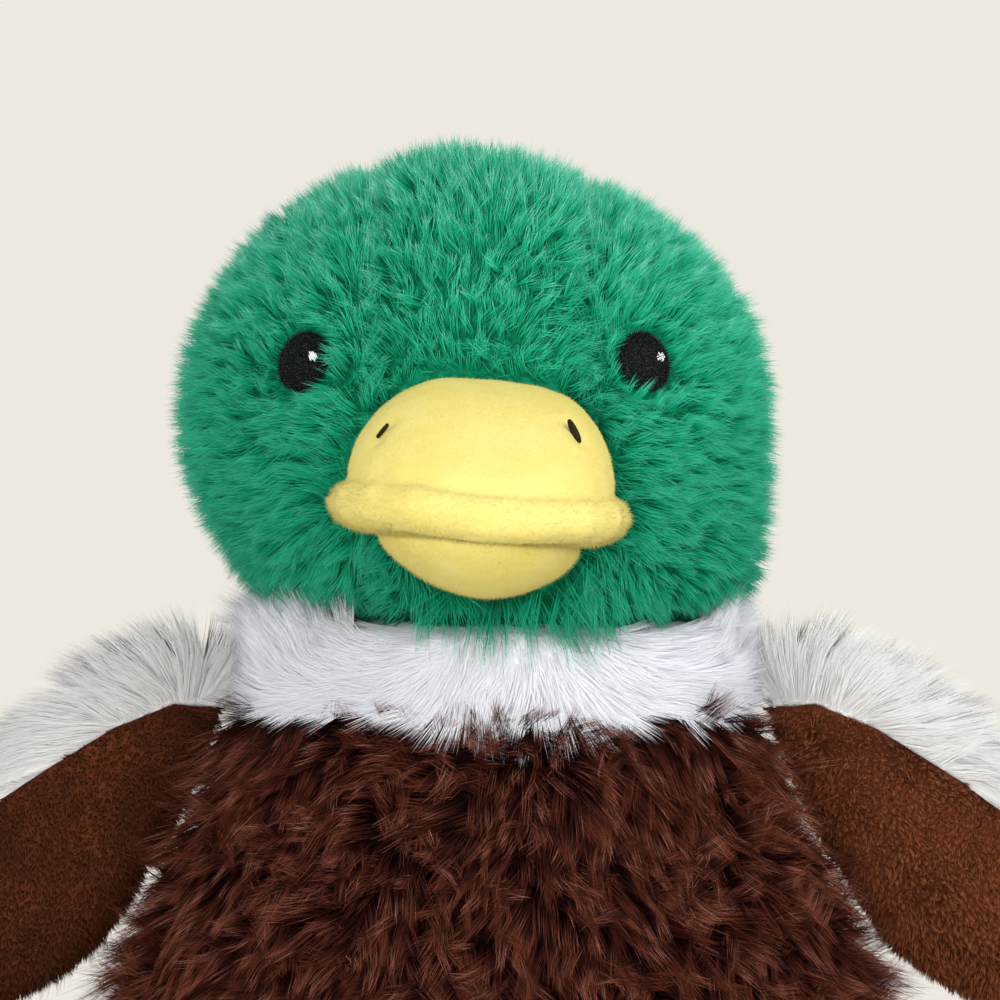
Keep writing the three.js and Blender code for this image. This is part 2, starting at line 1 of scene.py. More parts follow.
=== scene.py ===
import math
import bmesh
import bpy
import numpy as np
from mathutils import Matrix, Vector
from mathutils.bvhtree import BVHTree
from mathutils.kdtree import KDTree


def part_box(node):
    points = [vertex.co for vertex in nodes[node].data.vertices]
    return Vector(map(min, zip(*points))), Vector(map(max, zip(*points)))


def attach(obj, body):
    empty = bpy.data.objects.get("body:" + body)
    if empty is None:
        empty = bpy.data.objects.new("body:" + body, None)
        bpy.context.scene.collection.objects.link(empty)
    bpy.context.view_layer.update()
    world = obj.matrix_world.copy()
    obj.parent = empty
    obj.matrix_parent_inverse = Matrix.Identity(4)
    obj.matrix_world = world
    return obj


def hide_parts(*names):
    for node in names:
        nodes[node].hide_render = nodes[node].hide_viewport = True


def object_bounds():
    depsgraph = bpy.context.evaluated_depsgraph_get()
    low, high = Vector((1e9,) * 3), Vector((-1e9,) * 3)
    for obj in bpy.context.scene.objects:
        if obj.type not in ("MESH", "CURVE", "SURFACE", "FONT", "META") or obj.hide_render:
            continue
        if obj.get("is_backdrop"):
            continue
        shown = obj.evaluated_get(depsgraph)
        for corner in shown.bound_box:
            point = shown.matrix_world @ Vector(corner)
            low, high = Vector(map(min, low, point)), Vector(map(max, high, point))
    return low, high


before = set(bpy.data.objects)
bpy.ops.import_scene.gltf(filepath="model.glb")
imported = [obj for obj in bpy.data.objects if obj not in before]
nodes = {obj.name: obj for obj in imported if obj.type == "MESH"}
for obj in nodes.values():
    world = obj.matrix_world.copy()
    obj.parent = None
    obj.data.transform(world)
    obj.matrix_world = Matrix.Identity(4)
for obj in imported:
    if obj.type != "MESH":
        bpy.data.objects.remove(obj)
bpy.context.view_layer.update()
scene = bpy.context.scene

# Camera: a long lens level with the bill, which takes in the head and shoulders. It looks
# straight at the toy's front, from just beside its middle.
EYE_LEVEL = 0.234
CAMERA_DISTANCE = 1.1
CAMERA_ASIDE = 0.0015
WIDTH_SEEN = 0.267
SENSOR = 36


def link(name, data):
    made = bpy.data.objects.new(name, data)
    scene.collection.objects.link(made)
    return made


camera = link("camera", bpy.data.cameras.new("camera"))
camera.data.sensor_width = SENSOR
camera.data.lens = SENSOR * CAMERA_DISTANCE / WIDTH_SEEN
camera.location = (CAMERA_ASIDE, -CAMERA_DISTANCE, EYE_LEVEL)
camera.rotation_euler = (math.radians(90), 0, 0)
scene.camera = camera
scene.view_settings.view_transform = "Standard"

# Studio: a pale floor that fades into an equally pale room. A wide soft lamp stands high on the
# right, weaker ones fill in from in front and behind, and the room itself gives the rest.
ROOM_COLOUR = (0.855, 0.82, 0.745, 1)
ROOM_LIGHT = (1, 0.985, 0.96, 1)
ROOM_STRENGTH = 0.72
FLOOR_RADIUS = 0.78
FLOOR_SIDES = 96
FADE_START = 0.5
FADE_END = 0.97
LAMPS = {
    "lamp_key": ((1.2, -1.3, 1.0), 1.0, 18),
    "lamp_fill": ((-0.35, -1.9, 0.12), 1.0, 19),
    "lamp_left_rim": ((-1.4, 0.9, 1.1), 0.8, 7),
    "lamp_back": ((0.5, 1.3, 1.5), 0.9, 10),
}


class Value:
    """A shader socket that can be written in sums, and that any node can be hung on."""

    def __init__(self, tree, socket=None):
        self.tree = tree
        self.socket = socket

    def node(self, kind, settings=None, inputs=None, out=0):
        made = self.tree.nodes.new(kind)
        for key, value in (settings or {}).items():
            setattr(made, key, value)
        for key, value in (inputs or {}).items():
            if isinstance(value, Value):
                self.tree.links.new(value.socket, made.inputs[key])
            else:
                made.inputs[key].default_value = value
        return Value(self.tree, made.outputs[out])

    def math(self, operation, first, second):
        return self.node("ShaderNodeMath", {"operation": operation}, {0: first, 1: second})

    def __add__(self, other):
        return self.math("ADD", self, other)

    def __radd__(self, other):
        return self.math("ADD", other, self)

    def __mul__(self, other):
        return self.math("MULTIPLY", self, other)

    def __rmul__(self, other):
        return self.math("MULTIPLY", other, self)

    def step(self, low, high):
        """0 below low, 1 above high, and a smooth slope between."""
        ends = {"Value": self, "From Min": low, "From Max": high}
        return self.node("ShaderNodeMapRange", {"interpolation_type": "SMOOTHSTEP"}, ends)

    def mix(self, first, second):
        """From the first colour to the second as this value goes from 0 to 1."""
        settings = {"data_type": "RGBA", "clamp_factor": True}
        return self.node("ShaderNodeMix", settings, {0: self, 6: first, 7: second}, out=2)

    def scaled(self, factor):
        """This colour made lighter or darker by a factor."""
        inputs = {0: self, "Scale": factor}
        return self.node("ShaderNodeVectorMath", {"operation": "SCALE"}, inputs)

    def noise(self, scale, detail=2.0, rough=0.5):
        inputs = {"Vector": self, "Scale": scale, "Detail": detail, "Roughness": rough}
        return self.node("ShaderNodeTexNoise", None, inputs)


def material(name):
    """A new material with an empty tree, and a start to build its nodes from."""
    made = bpy.data.materials.new(name)
    made.use_nodes = True
    made.node_tree.nodes.clear()
    return made, Value(made.node_tree)


def finished(made, shader):
    output = made.node_tree.nodes.new("ShaderNodeOutputMaterial")
    made.node_tree.links.new(shader.socket, output.inputs["Surface"])
    return made


for name, (where, size, power) in LAMPS.items():
    lamp = bpy.data.lights.new(name, "AREA")
    lamp.shape = "DISK"
    lamp.size = size
    lamp.energy = power
    stand = link(name, lamp)
    stand.location = where
    aim = Vector((0, 0, EYE_LEVEL)) - Vector(where)
    stand.rotation_euler = aim.to_track_quat("-Z", "Y").to_euler()

room = bpy.data.worlds.new("room")
scene.world = room
room.use_nodes = True
room.node_tree.nodes.clear()
tree = Value(room.node_tree)
seen = tree.node("ShaderNodeLightPath", out="Is Camera Ray")
lit = tree.node("ShaderNodeBackground", None, {"Color": ROOM_LIGHT, "Strength": ROOM_STRENGTH})
shown = tree.node("ShaderNodeBackground", None, {"Color": ROOM_COLOUR, "Strength": 1.0})
both = tree.node("ShaderNodeMixShader", None, {0: seen, 1: lit, 2: shown})
sky = room.node_tree.nodes.new("ShaderNodeOutputWorld")
room.node_tree.links.new(both.socket, sky.inputs["Surface"])

disc = bmesh.new()
bmesh.ops.create_circle(disc, cap_ends=True, segments=FLOOR_SIDES, radius=FLOOR_RADIUS)
floor_mesh = bpy.data.meshes.new("floor")
disc.to_mesh(floor_mesh)
disc.free()
floor = link("floor", floor_mesh)
floor_paint, tree = material("floor_paint")
at = tree.node("ShaderNodeTexCoord", out="Object")
reach = tree.node("ShaderNodeVectorMath", {"operation": "LENGTH"}, {0: at}, "Value")
paint = tree.node("ShaderNodeBsdfDiffuse", None, {"Color": ROOM_COLOUR})
clear = tree.node("ShaderNodeBsdfTransparent")
fade = reach.step(FLOOR_RADIUS * FADE_START, FLOOR_RADIUS * FADE_END)
finished(floor_paint, tree.node("ShaderNodeMixShader", None, {0: fade, 1: paint, 2: clear}))
floor.data.materials.append(floor_paint)
floor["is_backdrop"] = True

# Head covers: three panels of long green pile, a gusset over the crown and a side panel each
# side, sewn together and pulled tight over the fibre filling. The seams sink between the hairs,
# which stand away from the bill and the eyes and hang down under the chin.
HEAD_NODES = ["head_gusset", "head_panel_left", "head_panel_right"]
HEAD_HAIRS = {"head_gusset": 29000, "head_panel_left": 45000, "head_panel_right": 45000}
HEAD_VOXEL = 0.003
HEAD_INSET = 0.0024
HEAD_SEAM = 0.0035
CHIN_ASIDE = 0.006
CHIN_HEIGHT = 0.03
CLOTH = 0.0015
CLOTH_FLOOR = 0.0003
HAIR_FLOOR = 0.0006
HAIR_ROOTED = 2.5
HAIR_TURN_AWAY = 1.6
HAIR_CROWDED = 0.45
RELIEF_DEPTH = 0.0006
MERGE = 1e-5
SIM_FRAMES = 20
GREEN_ROOT = (0.001, 0.14, 0.055, 1)
GREEN = (0.005, 0.42, 0.22, 1)
GREEN_TIP = (0.08, 0.70, 0.45, 1)
# Painted highlight: the paler mint tips of the crown's hair, where the light from above catches
# them.
GREEN_PAINTED_HIGHLIGHT = (0.42, 0.84, 0.66, 1)


def cad_tree(names):
    """The nearest-point tree of some CAD solids."""
    joined = bmesh.new()
    for name in names:
        joined.from_mesh(nodes[name].data)
    found = BVHTree.FromBMesh(joined)
    joined.free()
    return found


def middle(name):
    low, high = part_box(name)
    return (Vector(low) + Vector(high)) / 2


def applied(piece):
    """Makes a piece's modifiers part of its mesh."""
    ready = piece.evaluated_get(bpy.context.evaluated_depsgraph_get())
    mesh = bpy.data.meshes.new_from_object(ready)
    piece.modifiers.clear()
    piece.data = mesh


def corners_of(mesh):
    found = np.empty(len(mesh.vertices) * 3)
    mesh.vertices.foreach_get("co", found)
    return found.reshape(-1, 3)


def even(shape, verts, times):
    """Smooths away the flats that are left of the CAD solid's facets."""
    for _ in range(times):
        bmesh.ops.smooth_vert(
            shape, verts=verts, factor=0.5, use_axis_x=True, use_axis_y=True, use_axis_z=True
        )
    shape.normal_update()


def stuffed(name, names, voxel, pressure, reach, smooth=2):
    """The joined outside of some CAD solids, blown up like sewn cloth over its filling."""
    joined = bmesh.new()
    for node in names:
        joined.from_mesh(nodes[node].data)
    bmesh.ops.remove_doubles(joined, verts=joined.verts, dist=MERGE)
    mesh = bpy.data.meshes.new(name)
    joined.to_mesh(mesh)
    joined.free()
    form = link(name, mesh)
    skin = form.modifiers.new("skin", "REMESH")
    skin.mode = "VOXEL"
    skin.voxel_size = voxel
    applied(form)
    before = corners_of(form.data)
    cloth = form.modifiers.new("cloth", "CLOTH")
    cloth.settings.use_pressure = True
    cloth.settings.uniform_pressure_force = pressure
    cloth.settings.effector_weights.gravity = 0
    cloth.point_cache.frame_end = SIM_FRAMES
    for step in range(1, SIM_FRAMES + 1):
        scene.frame_set(step)
    applied(form)
    scene.frame_set(1)
    moved = corners_of(form.data) - before
    far = np.linalg.norm(moved, axis=1, keepdims=True)
    moved *= np.minimum(1, reach / np.maximum(far, 1e-9))
    form.data.vertices.foreach_set("co", (before + moved).ravel())
    shape = bmesh.new()
    shape.from_mesh(form.data)
    bpy.data.objects.remove(form)
    even(shape, shape.verts, smooth)
    return shape


def cover(shape, node, others, inset, seam_depth, seam_width):
    """The stretch of a stuffed form that one cloth panel covers, cut on its seams."""
    own, rest = cad_tree([node]), cad_tree(others)
    panel = shape.copy()
    seam = panel.verts.layers.float.new("seam")
    for vert in panel.verts:
        vert[seam] = rest.find_nearest(vert.co)[3] - own.find_nearest(vert.co)[3]
    fresh = []
    for edge in list(panel.edges):
        first, second = edge.verts
        if first[seam] * second[seam] < 0:
            share = first[seam] / (first[seam] - second[seam])
            _, vert = bmesh.utils.edge_split(edge, first, share)
            vert[seam] = 0
            fresh.append(vert)
    bmesh.ops.connect_verts(panel, verts=fresh)
    outside = [f for f in panel.faces if sum(v[seam] for v in f.verts) < 0]
    bmesh.ops.delete(panel, geom=outside, context="FACES")
    panel.normal_update()
    for vert in panel.verts:
        sink = seam_depth * math.exp(-((vert[seam] / seam_width) ** 2))
        vert.co -= vert.normal * (inset + sink)
        vert.co.z = max(vert.co.z, CLOTH_FLOOR)
    return panel


def cloth_piece(name, panel, finish):
    """A panel as a closed piece of cloth of one thickness."""
    mesh = bpy.data.meshes.new(name)
    panel.to_mesh(mesh)
    mesh.shade_smooth()
    made = link(name, mesh)
    made.data.materials.append(finish)
    if any(edge.is_boundary for edge in panel.edges):
        solid = made.modifiers.new("cloth", "SOLIDIFY")
        solid.thickness = CLOTH
        solid.offset = -1
    return made


def dressed(pieces, body, node):
    """Hangs finished pieces of one padded part on its body, in place of its CAD node."""
    for piece in pieces:
        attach(piece, body)
        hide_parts(node)


def backing(name, dark, light):
    """Knitted backing cloth, seen between the roots of the hairs."""
    made, tree = material(name)
    at = tree.node("ShaderNodeTexCoord", out="Object")
    shade = at.noise(420, detail=3, rough=0.7).step(0.35, 0.65)
    relief = {"Height": shade, "Strength": 0.5, "Distance": RELIEF_DEPTH}
    bump = tree.node("ShaderNodeBump", None, relief)
    inputs = {
        "Base Color": shade.mix(dark, light),
        "Roughness": 0.95,
        "Specular IOR Level": 0.1,
        "Normal": bump,
    }
    return finished(made, tree.node("ShaderNodeBsdfPrincipled", None, inputs))


def fibre(name, root, middle, tip, rough, dark=0.72, light=1.28, shine=0.3, painted_highlight=None):
    """Fibre that pales from root to tip along v, and differs from hair to hair along u. Its darker
    roots are painted shade, the shade down among the hairs.

    The tips of the hairs with the highest u are paler still where a painted highlight colour is
    given:
    painted glints, standing for light caught on those tips.
    """
    made, tree = material(name)
    where = tree.node("ShaderNodeUVMap", {"uv_map": "OFBake"})
    across = tree.node("ShaderNodeSeparateXYZ", None, {0: where}, out="X")
    along = tree.node("ShaderNodeSeparateXYZ", None, {0: where}, out="Y")
    colour = along.step(0.05, 0.55).mix(root, middle)
    # Painted highlight: the tips of the highest-u hairs are mixed towards a paler colour.
    if painted_highlight:
        tip = across.step(0.5, 1.0).mix(tip, painted_highlight)
    colour = along.step(0.5, 1.0).mix(colour, tip)
    inputs = {
        "Base Color": colour.scaled(dark + (light - dark) * across),
        "Roughness": rough,
        "Specular IOR Level": shine,
    }
    return finished(made, tree.node("ShaderNodeBsdfPrincipled", None, inputs))


def hair_form():
    """One hair along Z, root at 0 and tip at 1: a three-sided spike, flatter than it is wide."""
    hair = bmesh.new()
    bmesh.ops.create_cone(hair, cap_ends=True, segments=3, radius1=1, radius2=0, depth=1)
    squash = Matrix.Diagonal((1, 0.7, 1, 1)) @ Matrix.Translation((0, 0, 0.5))
    bmesh.ops.remove_doubles(hair, verts=hair.verts, dist=MERGE)
    bmesh.ops.triangulate(hair, faces=hair.faces)
    bmesh.ops.transform(hair, verts=hair.verts, matrix=squash)
    hair.verts.index_update()
    points = np.array([v.co for v in hair.verts])
    faces = np.array([[v.index for v in f.verts] for f in hair.faces])
    hair.free()
    return points, faces


def unit(vectors):
    return vectors / np.maximum(np.linalg.norm(vectors, axis=-1, keepdims=True), 1e-9)


def flat(vectors, normals):
    """The part of each vector that lies along the cloth."""
    return vectors - normals * np.sum(vectors * normals, axis=1, keepdims=True)


def swirl(points, size, seed):
    """A random field of directions that turns about once in each stretch of that size."""
    rng = np.random.default_rng(seed)
    field = np.zeros_like(points)
    for _ in range(6):
        wave = unit(rng.normal(size=(3, 3))) * (2 * math.pi / size) * rng.uniform(0.6, 1.5)
        field += np.sin(points @ wave.T + rng.uniform(0, 2 * math.pi, 3))
    return field / 2.4


def everywhere(at):
    return np.ones(len(at))


def pile(
    name, panel, finish, count, length, width, comb, lean, tuft, gather,
    ruffle=0.35, eddy=0.04, stir=0.5, droop=0.1, uneven=0.25, keep_off=(), part=0.009, bare=0,
    density=everywhere, measure=everywhere, shade=everywhere, soft=1.5, seed=1,
):
    """Hairs planted all over a panel's outside, combed one way and gathered into tufts.

    They keep off the CAD solids named in keep_off: none starts under one, within the distance
    bare of one or runs into it, and within the distance part they turn away and get shorter.
    The hairs of a soft pile take the light much as the cloth under them would.
    """
    rng = np.random.default_rng(seed)
    cloth = panel.copy()
    bmesh.ops.triangulate(cloth, faces=cloth.faces)
    cloth.normal_update()
    corners = np.array([[v.co for v in f.verts] for f in cloth.faces])
    turned = np.array([[v.normal for v in f.verts] for f in cloth.faces])
    cloth.free()
    sides = np.cross(corners[:, 1] - corners[:, 0], corners[:, 2] - corners[:, 0])
    areas = np.linalg.norm(sides, axis=1) / 2
    room = np.cumsum(areas * density(corners.mean(axis=1)))
    drawn = (np.arange(count) + rng.uniform(size=count)) * room[-1] / count
    face = np.minimum(np.searchsorted(room, drawn), len(corners) - 1)
    blend = rng.dirichlet((1, 1, 1), count)[:, :, None]
    roots = (corners[face] * blend).sum(axis=1)
    normals = unit((turned[face] * blend).sum(axis=1))
    away = np.zeros_like(roots)
    if keep_off:
        near = cad_tree(keep_off)
        kept = np.ones(count, bool)
        for i, (root, normal) in enumerate(zip(roots, normals)):
            start = Vector(root)
            if near.ray_cast(start, Vector(normal), length * 0.8)[0] is not None:
                kept[i] = False
                continue
            point, _, _, distance = near.find_nearest(start, part)
            if point is not None:
                kept[i] = distance > bare
                away[i] = (start - point).normalized() * (1 - distance / part)
        roots, normals, away = roots[kept], normals[kept], away[kept]
        count = len(roots)
    crowd = np.linalg.norm(away, axis=1, keepdims=True)

    tufts = min(count, max(1, int(areas.sum() / tuft**2)))
    chosen = rng.choice(count, tufts, replace=False)
    tree = KDTree(tufts)
    for i, root in enumerate(roots[chosen]):
        tree.insert(root, i)
    tree.balance()
    nearest = np.array([tree.find(root)[1] for root in roots])
    centre, upright = roots[chosen][nearest], normals[chosen][nearest]
    wild = rng.normal(size=(tufts, 3))[nearest] * ruffle
    own = rng.normal(size=(count, 3)) * ruffle * 0.4

    def heading(at, normal, extra):
        along = unit(comb(at)) + stir * (swirl(at, eddy, seed) + swirl(at, eddy / 4, seed + 1))
        return unit(normal + lean * flat(along, normal) + flat(extra, normal))

    reach = length * measure(roots)[:, None] * (1 - HAIR_CROWDED * crowd)
    reach = reach * rng.uniform(1 - uneven, 1 + uneven * 0.6, (count, 1))
    reach *= rng.uniform(1 - uneven * 0.6, 1 + uneven * 0.4, (tufts, 1))[nearest]
    heads = unit(heading(roots, normals, wild + own) + HAIR_TURN_AWAY * away)
    tips = roots + heads * reach
    pull = gather * (1 - crowd)
    tips += (centre + heading(centre, upright, wild) * reach - tips) * pull
    tips[:, 2] -= droop * reach[:, 0]
    bends = roots + unit(normals * 0.8 + heads) * reach * 0.5
    bends += (centre + upright * reach * 0.45 - bends) * pull * 0.3
    bends += rng.normal(size=(count, 3)) * reach * 0.07
    if keep_off:
        for i, (root, tip) in enumerate(zip(roots, tips)):
            span = Vector(tip - root)
            distance = near.ray_cast(Vector(root), span.normalized(), span.length)[3]
            if distance is not None:
                tips[i] = root + (tip - root) * 0.85 * distance / span.length
                bends[i] = (root + tips[i]) / 2
    forward = unit(tips - roots)
    across = unit(np.cross(forward, rng.normal(size=(count, 3))))
    aside = np.cross(forward, across)
    thick = width / 2 * rng.uniform(0.75, 1.25, (count, 1)) / np.sqrt(density(roots))[:, None]

    points, faces = hair_form()
    share = points[:, 2][None, :, None]
    curve = (
        (1 - share) ** 2 * (roots - normals * thick * HAIR_ROOTED)[:, None]
        + 2 * share * (1 - share) * bends[:, None]
        + share**2 * tips[:, None]
    )
    ring_x, ring_y = points[:, 0][None, :, None], points[:, 1][None, :, None]
    ring = ring_x * across[:, None] + ring_y * aside[:, None]
    verts = curve + ring * thick[:, None]
    verts[:, :, 2] = np.maximum(verts[:, :, 2], HAIR_FLOOR)
    tone = rng.uniform(0, 0.6, (count, 1)) + rng.uniform(0, 0.4, (tufts, 1))[nearest]
    tone *= shade(roots)[:, None]
    u = np.clip(0.02 + 0.94 * tone + 0.012 * points[:, 0], 0.001, 0.999)
    v = np.clip(points[:, 2] + 0.01 * points[:, 1], 0.001, 0.999)[None].repeat(count, axis=0)
    order = (faces[None] + (np.arange(count) * len(points))[:, None, None]).reshape(-1)
    mesh = bpy.data.meshes.new(name)
    mesh.vertices.add(count * len(points))
    mesh.vertices.foreach_set("co", verts.ravel())
    mesh.loops.add(len(order))
    mesh.loops.foreach_set("vertex_index", order.astype(np.int32))
    mesh.polygons.add(len(order) // 3)
    mesh.polygons.foreach_set("loop_start", np.arange(0, len(order), 3, dtype=np.int32))
    mesh.update(calc_edges=True)
    layer = mesh.uv_layers.new(name="OFBake")
    pairs = np.stack([u.ravel()[order], v.ravel()[order]], axis=1)
    layer.uv.foreach_set("vector", pairs.astype(np.float32).ravel())
    mesh.shade_smooth()
    shading = np.empty(verts.size)
    mesh.vertex_normals.foreach_get("vector", shading)
    shading = unit(shading.reshape(-1, 3) + soft * normals.repeat(len(points), axis=0))
    mesh.normals_split_custom_set_from_vertices(shading)
    made = link(name, mesh)
    made.data.materials.append(finish)
    return made


def smooth_rise(values, low, high):
    share = np.clip((values - low) / (high - low), 0, 1)
    return share * share * (3 - 2 * share)


bill_middle = np.array(middle("upper_bill_cover"))
head_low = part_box("head_gusset")[0][2]


def head_comb(at):
    """Hair lies away from the bill, up over the crown and down the cheeks and chin."""
    outward = at - bill_middle
    outward[:, 1] *= 0.3
    outward[:, 2] += 0.03 - 0.09 * smooth_rise(-at[:, 2], -bill_middle[2], -head_low)
    return outward


def front_heavy(at):
    return 1 - 0.6 * smooth_rise(at[:, 1], -0.01, 0.03)


def head_measure(at):
    """The chin hangs longer, and the sides above the collar are cropped."""
    low = smooth_rise(-at[:, 2], -head_low - CHIN_HEIGHT, -head_low)
    aside = smooth_rise(np.abs(at[:, 0] - CHIN_ASIDE), 0.01, 0.04)
    return 1 + low * (1.2 - 1.55 * aside)


def head_painted_light(at):
    """Painted light: the crown's hair is painted palest, as if lit from above, and the chin's
    darkest, as if in shade.
    """
    crown = smooth_rise(at[:, 2], head_low + 0.08, head_low + 0.135)
    return 0.4 + 0.6 * smooth_rise(at[:, 2], head_low + 0.01, head_low + 0.1) + 0.5 * crown


green_cloth = backing("green_backing", (0.001, 0.14, 0.06, 1), (0.003, 0.24, 0.12, 1))
green_pile = fibre(
    "green_pile", GREEN_ROOT, GREEN, GREEN_TIP, rough=0.7, dark=0.6, light=1.3, shine=0.08,
    painted_highlight=GREEN_PAINTED_HIGHLIGHT,
)
head = stuffed(
    "head", HEAD_NODES + ["head_filling"], voxel=HEAD_VOXEL, pressure=3, reach=0.002
)
FACE = ["eye_left", "eye_right", "upper_bill_cover", "lower_bill_cover", "neck_collar"]
for i, node in enumerate(HEAD_NODES):
    others = [n for n in HEAD_NODES if n != node]
    panel = cover(
        head, node, others, inset=HEAD_INSET, seam_depth=HEAD_SEAM, seam_width=HEAD_SEAM
    )
    skin = cloth_piece(node + "_cloth", panel, green_cloth)
    hair = pile(
        node + "_pile", panel, green_pile, HEAD_HAIRS[node], length=0.0098, width=0.00036,
        comb=head_comb, lean=0.4, tuft=0.0028, gather=0.38, ruffle=0.35, keep_off=FACE,
        part=0.0045, density=front_heavy, measure=head_measure, shade=head_painted_light, seed=11 + i,
    )
    dressed((skin, hair), "duck_body", node)
    panel.free()
head.free()

# Bill: two yellow covers of short velour, each stuffed. The upper one is a dome with a thick
# turned rim, and the seam between them draws in a crease. Both are sewn into the face.
YELLOW_LOW = (0.73, 0.60, 0.15, 1)
YELLOW = (0.76, 0.65, 0.185, 1)
YELLOW_HIGH = (0.79, 0.70, 0.25, 1)
CREASE_DEPTH = 0.0008
CREASE_WIDTH = 0.0026
RIM_TOP = 0.0125
RIM_RISE = 0.004
RIM_RISE_WIDTH = 0.025
RIM_FADE = 0.004
DOME_FOOT = 0.003
HOLLOW_ANGLE = 25
HOLLOW_STEP = 0.001
BILL_ROUNDS = 40


def velour(name, dark, light, relief, grain):
    """Short sheared pile: a fine nap that lies in patches."""
    made, tree = material(name)
    at = tree.node("ShaderNodeTexCoord", out="Object")
    nap = at.noise(grain, detail=3, rough=0.6)
    patch = at.noise(55, detail=4, rough=0.6).step(0.3, 0.7)
    relief_inputs = {"Height": nap, "Strength": relief, "Distance": RELIEF_DEPTH}
    bump = tree.node("ShaderNodeBump", None, relief_inputs)
    inputs = {
        "Base Color": (0.65 * patch + 0.35 * nap.step(0.3, 0.7)).mix(dark, light),
        "Roughness": 0.9,
        "Normal": bump,
        "Specular IOR Level": 0.15,
    }
    return finished(made, tree.node("ShaderNodeBsdfPrincipled", None, inputs))


def forward_comb(at):
    """Nap brushed towards the tip of the bill."""
    return np.tile((0.0, -1.0, -0.25), (len(at), 1))


def over_rim(at):
    """How high a place is over the top of the turned rim, which rides up on the duck's right."""
    rise = RIM_RISE * smooth_rise(-at[:, 0], 0, RIM_RISE_WIDTH)
    return at[:, 2] - bill_low - RIM_TOP - rise


def bill_measure(at):
    """The nap is longer on the turned rim."""
    return 0.6 + 1.3 * smooth_rise(-over_rim(at), 0, RIM_FADE)


def hollows(node, above):
    """Points along the inward corners of a CAD solid's outside, above a height."""
    solid = bmesh.new()
    solid.from_mesh(nodes[node].data)
    bmesh.ops.remove_doubles(solid, verts=solid.verts, dist=MERGE)
    found = []
    for edge in solid.edges:
        if len(edge.link_faces) == 2 and edge.calc_face_angle_signed() < -math.radians(HOLLOW_ANGLE):
            first, second = (v.co.copy() for v in edge.verts)
            if min(first.z, second.z) > above:
                steps = max(1, int(edge.calc_length() / HOLLOW_STEP))
                found += [first.lerp(second, i / steps) for i in range(steps + 1)]
    solid.free()
    tree = KDTree(max(1, len(found)))
    for i, point in enumerate(found):
        tree.insert(point, i)
    tree.balance()
    return tree


yellow_velour = velour("yellow_velour", YELLOW_LOW, YELLOW_HIGH, relief=0.25, grain=1900)
yellow_nap = fibre(
    "yellow_nap", YELLOW, YELLOW, YELLOW_HIGH, rough=0.85, dark=0.97, light=1.03, shine=0.05
)
bill_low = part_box("upper_bill_cover")[0][2]
bills = {}
for node, filling, hairs in (
    ("upper_bill_cover", "upper_bill_filling", 24000),
    ("lower_bill_cover", "lower_bill_filling", 9000),
):
    bill = stuffed(node, [node, filling], voxel=0.0012, pressure=2, reach=0.0006, smooth=5)
    if node == "lower_bill_cover":
        even(bill, bill.verts, BILL_ROUNDS)
    else:
        high = over_rim(np.array([vert.co for vert in bill.verts]))
        dome = [vert for vert, rise in zip(bill.verts, high) if rise > DOME_FOOT]
        even(bill, dome, BILL_ROUNDS)
        corner = hollows(node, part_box("lower_bill_cover")[1][2])
        for vert in bill.verts:
            distance = corner.find(vert.co)[2]
            vert.co -= vert.normal * CREASE_DEPTH * math.exp(-((distance / CREASE_WIDTH) ** 2))
        bill.normal_update()
    skin = cloth_piece(node + "_cloth", bill, yellow_velour)
    nap = pile(
        node + "_nap", bill, yellow_nap, hairs, length=0.0009, width=0.00015,
        comb=forward_comb, lean=0.8, tuft=0.0014, gather=0.25, ruffle=0.25, droop=0, eddy=0.02,
        keep_off=["nostril_left", "nostril_right"], part=0.0016, bare=0.0008,
        measure=bill_measure if node == "upper_bill_cover" else everywhere, soft=1, seed=21,
    )
    dressed((skin, nap), "duck_body", node)
    bills[node] = BVHTree.FromBMesh(bill)
    bill.free()

# Eyes: ovals of black satin stitch on the face. A border of short stitches runs round each, rows
# of thread fill it, and a few white stitches on top make the glint.
EYE_TILT = 21
EYE_OUT_TURN = 17
EYE_LIFT = 0.0022
EYE_HALF = (0.0066, 0.0080)
EYE_PLATE = 0.0009
STITCH = 0.00042
BORDER_STITCHES = 74
BORDER_STITCH = 0.0019
EYE_ROWS = 30
GLINT_STITCHES = 5
GLINT_STITCH = 0.0028
GLINT_TILT = 20


def thread(name, colour, light):
    made, tree = material(name)
    at = tree.node("ShaderNodeTexCoord", out="Object")
    inputs = {
        "Base Color": at.noise(2600).step(0.45, 0.7).mix(colour, light),
        "Roughness": 0.6,
        "Specular IOR Level": 0.07,
    }
    return finished(made, tree.node("ShaderNodeBsdfPrincipled", None, inputs))


def stitch(embroidery, centre, along, length, lift=0.0, width=STITCH):
    """One stitch: a slim rounded length of thread lying on the XY plane."""
    matrix = (
        Matrix.Translation((centre[0], centre[1], lift))
        @ Matrix.Rotation(along, 4, "Z")
        @ Matrix.Diagonal((length / 2, width / 2, width / 2, 1))
        @ Matrix.Rotation(math.radians(90), 4, "Y")
    )
    bmesh.ops.create_uvsphere(embroidery, u_segments=6, v_segments=4, radius=1, matrix=matrix)


def facing(centre, outward, tilt):
    """Turns the XY plane to face outward at a place, with Y up and then tilted."""
    back = Vector(outward).normalized()
    right = Vector((0, 0, 1)).cross(back).normalized()
    turn = Matrix((right, back.cross(right), back)).transposed().to_4x4()
    return Matrix.Translation(centre) @ turn @ Matrix.Rotation(math.radians(tilt), 4, "Z")


def sewn(name, embroidery, matrix, finish, node):
    """Finished embroidery, moved to its place on the duck's body."""
    bmesh.ops.transform(embroidery, verts=embroidery.verts, matrix=matrix)
    mesh = bpy.data.meshes.new(name)
    embroidery.to_mesh(mesh)
    embroidery.free()
    mesh.shade_smooth()
    made = link(name, mesh)
    made.data.materials.append(finish)
    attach(made, "duck_body")
    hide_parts(node)
